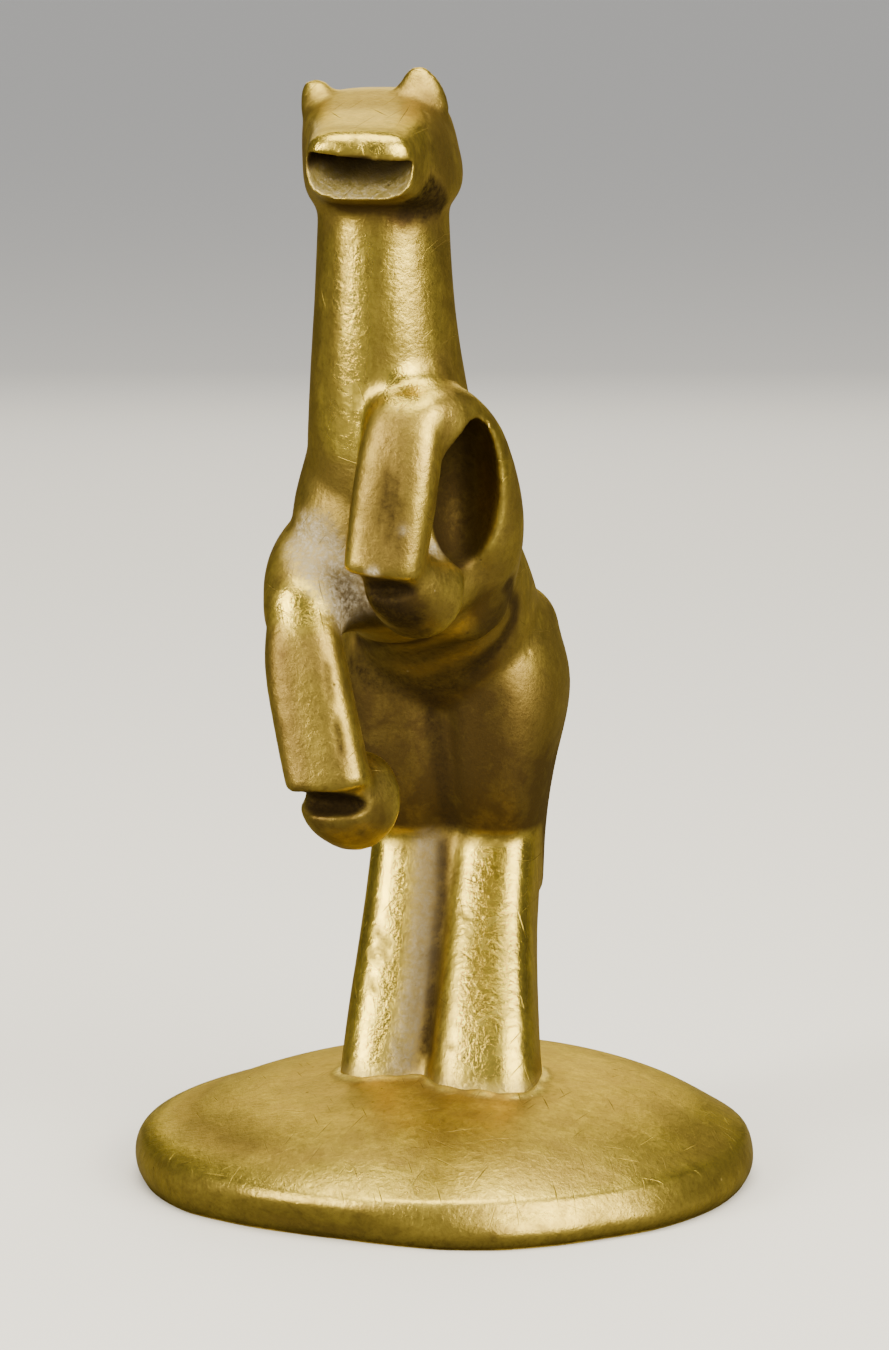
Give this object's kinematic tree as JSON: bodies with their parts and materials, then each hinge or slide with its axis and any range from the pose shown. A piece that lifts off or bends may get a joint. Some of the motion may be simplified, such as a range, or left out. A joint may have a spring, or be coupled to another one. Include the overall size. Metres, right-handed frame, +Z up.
{
  "type": "horse statue",
  "caption": "Small solid brass horse in a plain stylised manner, rearing with bent forelegs on a low domed round base, with aged brown and worn bright metal.",
  "frame": {"origin": "centre of the round base's underside, on the surface it stands on", "axes": "+Z up out of the base's crown; the horse faces -Y, and +X is the horse's left side"},
  "size_m": [0.062, 0.0662, 0.111],
  "materials": {
    "figure_brass": "aged cast brass, olive brown patina worn bright on the legs, knees and muzzle",
    "base_brass": "aged brass, fine scratches, brighter at the worn rim"
  },
  "bodies": {
    "root": {"horse": "figure_brass", "base": "base_brass"}
  },
  "joints": []
}
